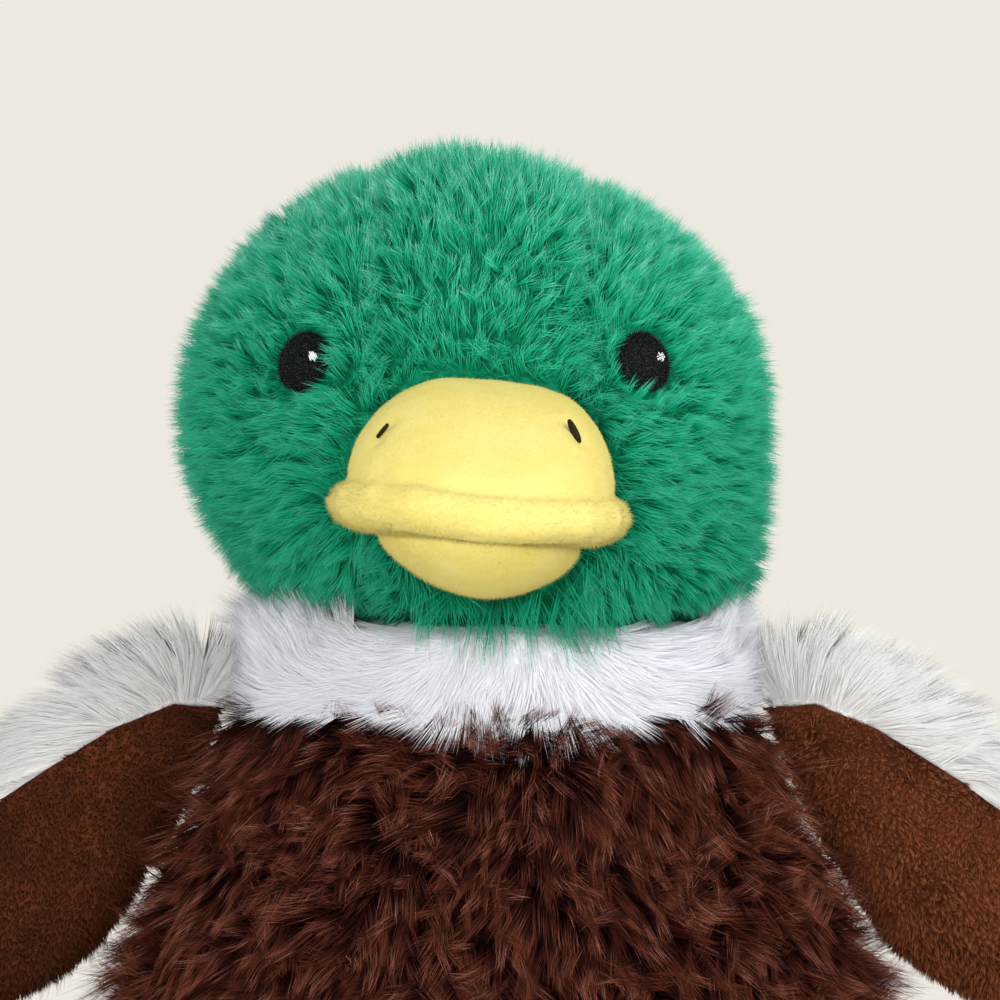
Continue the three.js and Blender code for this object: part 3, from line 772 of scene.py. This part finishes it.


# The black thread's lighter flecks stand partly for the thread's own flecks and partly for the
# satin's sheen, a painted highlight.
black_thread = thread("black_thread", (0.001, 0.0015, 0.0015, 1), (0.03, 0.035, 0.033, 1))
white_thread = thread("white_thread", (0.8, 0.8, 0.83, 1), (0.95, 0.95, 0.97, 1))
rng = np.random.default_rng(5)
for side, sign in (("left", 1), ("right", -1)):
    turn = math.radians(sign * EYE_OUT_TURN)
    outward = Vector((math.sin(turn), -math.cos(turn), 0.12)).normalized()
    eye = bmesh.new()
    plate = Matrix.Diagonal((EYE_HALF[0] * 0.97, EYE_HALF[1] * 0.97, EYE_PLATE, 1))
    bmesh.ops.create_uvsphere(eye, u_segments=40, v_segments=10, radius=1, matrix=plate)
    for i in range(BORDER_STITCHES):
        turn = 2 * math.pi * i / BORDER_STITCHES
        rim = rng.uniform(0.9, 0.95)
        at = (EYE_HALF[0] * rim * math.cos(turn), EYE_HALF[1] * rim * math.sin(turn))
        stitch(eye, at, turn, BORDER_STITCH * rng.uniform(0.85, 1.1), lift=0.0004)
    for row in range(EYE_ROWS):
        y = EYE_HALF[1] * 0.86 * (2 * (row + 0.5) / EYE_ROWS - 1)
        half = EYE_HALF[0] * 0.84 * math.sqrt(1 - (y / EYE_HALF[1]) ** 2)
        x = -half + rng.uniform(0, 0.001)
        while x < half:
            run = min(rng.uniform(0.0018, 0.003), half - x + 0.0004)
            stitch(eye, (x + run / 2, y), 0, run, lift=0.0008 + rng.uniform(0, 0.00012))
            x += run
    place = facing(middle("eye_" + side) + outward * EYE_LIFT, outward, sign * EYE_TILT)
    sewn("eye_" + side + "_stitched", eye, place, black_thread, "eye_" + side)
    glint = bmesh.new()
    for i in range(GLINT_STITCHES):
        aside = i - GLINT_STITCHES // 2
        long = GLINT_STITCH * (1 - 0.16 * abs(aside)) * rng.uniform(0.8, 1.15)
        lean = math.radians(90 + rng.uniform(-8, 8))
        at = (aside * STITCH, rng.uniform(-0.0003, 0.0003))
        stitch(glint, at, lean, long, width=STITCH * 1.15)
    node = "eye_glint_" + side
    place = facing(middle(node) + outward * (EYE_LIFT + 0.0002), outward, GLINT_TILT)
    sewn(node + "_stitched", glint, place, white_thread, node)

# Nostrils: a short raised bar of dark brown satin stitches on each side of the upper bill, turned
# a little forwards. The one on the duck's right is worked smaller.
NOSTRILS = {"left": (0.0060, 0.0023, 8), "right": (0.0036, 0.0009, -24)}
NOSTRIL_LIFT = 0.0006
NOSTRIL_HEIGHT = 0.0015
brown_thread = thread("brown_thread", (0.012, 0.008, 0.003, 1), (0.045, 0.03, 0.012, 1))
for side, (long, wide, tilt) in NOSTRILS.items():
    node = "nostril_" + side
    ground, normal, _, _ = bills["upper_bill_cover"].find_nearest(middle(node))
    bar = bmesh.new()
    rows = int(long / (STITCH * 0.9))
    for row in range(rows):
        y = long * ((row + 0.5) / rows - 0.5)
        stitch(bar, (0, y), 0, wide * math.sqrt(1 - (1.9 * y / long) ** 2), width=NOSTRIL_HEIGHT)
    outward = normal + Vector((0, -0.5, 0))
    place = facing(ground + normal * NOSTRIL_LIFT, outward, tilt)
    sewn(node + "_stitched", bar, place, brown_thread, node)

# Trunk covers: a white collar band, a belly panel of long dark brown pile, two pale grey back
# panels and a grey seat, sewn over the body filling and the bean bag. The collar stands up
# beside the cheeks and hangs over the belly in front.
TRUNK_NODES = ["neck_collar", "belly_panel", "back_panel_left", "back_panel_right", "seat_panel"]
WINGS = [f"wing_{part}_{side}" for part in ("lining", "back") for side in ("left", "right")]
FEET = [f"foot_{part}_{side}" for part in ("top", "sole") for side in ("left", "right")]
TRUNK_INSET = 0.0022
collar_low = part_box("neck_collar")[0][2]
neck_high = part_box("neck_collar")[1][2]


def outwards(at):
    """Away from the trunk's upright middle line, as a unit in the plane."""
    return unit(at * np.array((1.0, 1.0, 0.0)))


def beside_chin(at):
    """0 in front under the chin, and 1 beside the cheeks."""
    return smooth_rise(np.abs(at[:, 0] - CHIN_ASIDE), 0.006, 0.056)


def collar_comb(at):
    """The collar's hair hangs down in front, fans out sideways and rises beside the cheeks."""
    way = outwards(at) * 0.5
    rise = beside_chin(at)
    way[:, 0] += 4.8 * rise * (1 - rise) * np.sign(at[:, 0] - CHIN_ASIDE)
    way[:, 2] = -1 + rise * (0.9 + 1.6 * smooth_rise(at[:, 2], collar_low, neck_high))
    return way


def collar_measure(at):
    """The collar's hair is longest at its top edge beside the cheeks, and short under the chin."""
    rise = beside_chin(at)
    return 1.05 - 0.2 * rise + (1.35 * rise - 0.6) * smooth_rise(at[:, 2], collar_low, neck_high)


def belly_comb(at):
    """Belly hair lies down and outwards from the middle, and sideways at the side seams."""
    aside = smooth_rise(np.abs(at[:, 0]), 0.05, 0.085)
    way = outwards(at) * (0.55 + 1.6 * aside)[:, None]
    way[:, 2] = -1
    return way


def belly_measure(at):
    """Belly hair is short under the collar, and longer at the side seams, which it covers."""
    top = smooth_rise(at[:, 2], collar_low - 0.012, collar_low + 0.004)
    top *= 1 - smooth_rise(np.abs(at[:, 0]), 0.04, 0.055)
    return 1 + 0.5 * smooth_rise(at[:, 1], -0.03, -0.005) - 0.75 * top


def back_comb(at):
    """Back hair stands up and out on the shoulders and lies down below them."""
    way = outwards(at) + (0.0, 2.0, 0.0) * (1 - smooth_rise(at[:, 2], 0.165, 0.18))[:, None]
    way[:, 2] = -1 + 2.4 * smooth_rise(at[:, 2], 0.14, 0.175)
    return way


def back_measure(at):
    """The back's hair stands longest on the shoulders, and is cropped along the side seams."""
    shoulder = smooth_rise(at[:, 2], 0.168, 0.178)
    flank = smooth_rise(at[:, 2], 0.104, 0.116) * smooth_rise(-at[:, 1], -0.025, -0.012)
    return 1 + 0.3 * shoulder - 0.85 * (1 - shoulder) * flank


def upper_heavy(at):
    return 1 - 0.55 * smooth_rise(-at[:, 2], -0.1, -0.05)


def shoulder_heavy(at):
    return 0.35 + 0.65 * smooth_rise(at[:, 2], 0.12, 0.15)


white_cloth = backing("white_backing", (0.90, 0.90, 0.97, 1), (0.95, 0.95, 0.99, 1))
# The brown backing is painted nearly black: painted shade, the deep shade between the belly's locks.
brown_cloth = backing("brown_backing", (0.004, 0.001, 0.001, 1), (0.012, 0.003, 0.002, 1))
grey_cloth = backing("grey_backing", (0.76, 0.76, 0.75, 1), (0.82, 0.82, 0.81, 1))
white_pile = fibre(
    "white_pile", (0.85, 0.85, 0.93, 1), (0.87, 0.875, 0.95, 1), (0.90, 0.90, 0.97, 1),
    rough=0.65, dark=0.97, light=1.03,
)
# The brown pile's near-black roots are painted shade between the locks, and its paler tips on the
# highest-u hairs are painted glints.
brown_pile = fibre(
    "brown_pile", (0.003, 0.0005, 0.0003, 1), (0.034, 0.006, 0.003, 1), (0.22, 0.052, 0.026, 1),
    rough=0.4, dark=0.25, light=1.6, shine=0.05, painted_highlight=(0.55, 0.24, 0.17, 1),
)
grey_pile = fibre(
    "grey_pile", (0.72, 0.72, 0.71, 1), (0.78, 0.78, 0.77, 1), (0.84, 0.84, 0.83, 1),
    rough=0.65, dark=0.92, light=1.08,
)
TRUNK_FINISHES = {
    "neck_collar": (white_cloth, white_pile, "white_long_pile"),
    "belly_panel": (brown_cloth, brown_pile, "brown_long_pile"),
    "back_panel_left": (grey_cloth, grey_pile, "grey_long_pile"),
    "back_panel_right": (grey_cloth, grey_pile, "grey_long_pile"),
    "seat_panel": (grey_cloth, grey_pile, "grey_long_pile"),
}
collar_hair = {
    "count": 45000, "length": 0.0115, "width": 0.00032, "comb": collar_comb, "lean": 1.9,
    "tuft": 0.0035, "gather": 0.2, "ruffle": 0.3, "stir": 0.3, "part": 0.003,
    "density": front_heavy, "measure": collar_measure,
}
belly_hair = {
    "count": 42000, "length": 0.0150, "width": 0.00032, "comb": belly_comb, "lean": 1.5,
    "tuft": 0.0052, "gather": 0.65, "ruffle": 0.5, "stir": 0.6, "part": 0.001,
    "density": upper_heavy, "measure": belly_measure, "soft": 0.6,
}
back_hair = {
    "count": 18000, "length": 0.016, "width": 0.0004, "comb": back_comb, "lean": 1.6,
    "tuft": 0.005, "gather": 0.25, "ruffle": 0.3, "stir": 0.3, "part": 0.003,
    "density": shoulder_heavy, "measure": back_measure,
}
seat_hair = {
    "count": 4000, "length": 0.009, "width": 0.0009, "comb": belly_comb, "lean": 0.5,
    "tuft": 0.005, "gather": 0.4, "ruffle": 0.4, "stir": 0.3, "part": 0.003,
}
TRUNK_HAIR = dict(zip(TRUNK_NODES, (collar_hair, belly_hair, back_hair, back_hair, seat_hair)))
trunk = stuffed(
    "trunk", TRUNK_NODES + ["body_filling", "bean_bag"], voxel=0.004, pressure=3, reach=0.003
)
for i, (node, (cloth_finish, finish, slot)) in enumerate(TRUNK_FINISHES.items()):
    others = [n for n in TRUNK_NODES if n != node]
    panel = cover(trunk, node, others, inset=TRUNK_INSET, seam_depth=0.0015, seam_width=0.004)
    pieces = [cloth_piece(node + "_cloth", panel, cloth_finish)]
    layers = ("_under_pile", "_pile") if node == "belly_panel" else ("_pile",)
    for layer, ending in enumerate(layers):
        hair = pile(
            node + ending, panel, finish, eddy=0.06, keep_off=WINGS + FEET + ["head_filling"],
            seed=31 + i + 10 * layer, **TRUNK_HAIR[node],
        )
        pieces.append(hair)
    dressed(pieces, "duck_body", node)
    panel.free()
trunk.free()

# Wings: flat padded paddles on the side seams, brown velour in front and long grey pile behind,
# which wraps over the top edge and stands up along it.
BROWN_LOW = (0.018, 0.003, 0.001, 1)
BROWN = (0.13, 0.032, 0.011, 1)
BROWN_HIGH = (0.34, 0.13, 0.06, 1)
brown_velour = velour("brown_velour", BROWN_LOW, BROWN, relief=0.8, grain=900)
brown_nap = fibre(
    "brown_nap", BROWN_LOW, BROWN, BROWN_HIGH, rough=0.75, dark=0.25, light=1.5, shine=0.02
)
for side, sign in (("left", 1), ("right", -1)):
    lining, back = "wing_lining_" + side, "wing_back_" + side

    def nap_comb(at):
        """The velour's nap is brushed down and outwards."""
        return np.tile((sign * 0.2, 0.1, -1.0), (len(at), 1))

    def nap_painted_shade(at):
        """Painted shade: the nap of the duck's right wing is painted darker, as for a wing turned
        away from the light.
        """
        return np.full(len(at), 0.7 + 0.55 * sign)

    def wing_comb(at):
        """The long pile stands up near the shoulder, points out along the wing, and back below."""
        way = np.tile((-sign * 0.25, 0.1, 0.8), (len(at), 1))
        way[:, 0] += sign * 1.15 * smooth_rise(np.abs(at[:, 0]), 0.074, 0.094)
        way[:, 2] -= 1.3 * smooth_rise(np.abs(at[:, 0]), 0.085, 0.14)
        way[:, 1] += 0.9 * (1 - wing_top(at))
        return way

    def wing_top(at):
        """1 along the wing's top edge, and 0 well below it."""
        return smooth_rise(at[:, 2] + 0.5 * np.abs(at[:, 0]), 0.19, 0.215)

    def top_heavy(at):
        return 0.4 + 0.6 * wing_top(at)

    def wing_measure(at):
        """The wing's hair is longest along the top edge, and cropped at the root below it."""
        root = smooth_rise(-np.abs(at[:, 0]), -0.104, -0.09)
        return 0.6 - 0.54 * root + (0.4 + 0.56 * root) * wing_top(at)

    wing = stuffed(
        "wing_" + side, [lining, back, "wing_filling_" + side],
        voxel=0.002, pressure=2, reach=0.0015, smooth=3,
    )
    panel = cover(wing, lining, [back], inset=0, seam_depth=0.001, seam_width=0.002)
    skin = cloth_piece(lining + "_cloth", panel, brown_velour)
    nap = pile(
        lining + "_nap", panel, brown_nap, count=26000, length=0.0026, width=0.00038,
        comb=nap_comb, lean=0.8, tuft=0.0011, gather=0.45, ruffle=0.25, stir=0.4, droop=0,
        eddy=0.03, shade=nap_painted_shade, soft=0.5, seed=41,
    )
    dressed((skin, nap), side + "_wing", lining)
    panel.free()
    panel = cover(wing, back, [lining], inset=0.0018, seam_depth=0.001, seam_width=0.003)
    skin = cloth_piece(back + "_cloth", panel, grey_cloth)
    hair = pile(
        back + "_pile", panel, grey_pile, count=31000, length=0.0165, width=0.00034,
        comb=wing_comb, lean=1.6, tuft=0.005, gather=0.25, ruffle=0.25, eddy=0.07, stir=0.25,
        part=0.002, keep_off=["back_panel_" + side], density=top_heavy, measure=wing_measure,
        seed=42,
    )
    dressed((skin, hair), side + "_wing", back)
    panel.free()
    wing.free()

# Feet: webbed pads of the bill's yellow velour, a top and a sole sewn round the edge, with the
# heel sewn to the front of the seat.
for side in ("left", "right"):
    top, sole = "foot_top_" + side, "foot_sole_" + side
    foot = stuffed(
        "foot_" + side, [top, sole, "foot_filling_" + side],
        voxel=0.0018, pressure=2, reach=0.0005, smooth=3,
    )
    for node, other in ((top, sole), (sole, top)):
        panel = cover(foot, node, [other], inset=0, seam_depth=0.0008, seam_width=0.0015)
        pieces = [cloth_piece(node + "_cloth", panel, yellow_velour)]
        if node == top:
            nap = pile(
                node + "_nap", panel, yellow_nap, count=5000, length=0.0012, width=0.00026,
                comb=forward_comb, lean=0.6, tuft=0.0012, gather=0.2, droop=0, eddy=0.02,
                soft=3, seed=51,
            )
            pieces.append(nap)
        dressed(pieces, side + "_foot", node)
        panel.free()
    foot.free()

# Tail: a short grey wedge, stuffed and sewn to the back seam. Its long hair is swept back to the
# tip, and keeps off the panels beside it.
TAIL_INSET = 0.003


def tail_comb(at):
    """Hair swept back, and a little up."""
    return np.tile((0.0, 1.0, 0.1), (len(at), 1))


tail = stuffed("tail", ["tail_cover", "tail_filling"], voxel=0.0025, pressure=2, reach=0.001)
for vert in tail.verts:
    vert.co -= vert.normal * TAIL_INSET
tail.normal_update()
skin = cloth_piece("tail_cover_cloth", tail, grey_cloth)
hair = pile(
    "tail_cover_pile", tail, grey_pile, count=6000, length=0.016, width=0.0008,
    comb=tail_comb, lean=0.9, tuft=0.006, gather=0.4, ruffle=0.4,
    keep_off=["back_panel_left", "back_panel_right"], seed=61,
)
dressed((skin, hair), "duck_body", "tail_cover")
tail.free()

# Fillings: loose polyester fibre in every padded part, and a calico bag of beans in the seat.
# They are inside the covers, and show only where a part is opened up.
FILLINGS = {
    "head_filling": "duck_body",
    "body_filling": "duck_body",
    "upper_bill_filling": "duck_body",
    "lower_bill_filling": "duck_body",
    "tail_filling": "duck_body",
    "wing_filling_left": "left_wing",
    "wing_filling_right": "right_wing",
    "foot_filling_left": "left_foot",
    "foot_filling_right": "right_foot",
    "bean_bag": "duck_body",
}
LUMP_INSET = 0.001
wadding = backing("polyester_fibre", (0.75, 0.74, 0.72, 1), (0.88, 0.87, 0.85, 1))
calico = backing("bean_bag_calico", (0.58, 0.5, 0.36, 1), (0.68, 0.61, 0.46, 1))
for node, body in FILLINGS.items():
    lump = bmesh.new()
    lump.from_mesh(nodes[node].data)
    bmesh.ops.remove_doubles(lump, verts=lump.verts, dist=MERGE)
    bmesh.ops.smooth_vert(
        lump, verts=lump.verts, factor=0.3, use_axis_x=True, use_axis_y=True, use_axis_z=True
    )
    lump.normal_update()
    for vert in lump.verts:
        vert.co -= vert.normal * LUMP_INSET
    sack = node == "bean_bag"
    piece = cloth_piece(node + "_lump", lump, calico if sack else wadding)
    lump.free()
    dressed([piece], body, node)

low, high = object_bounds()
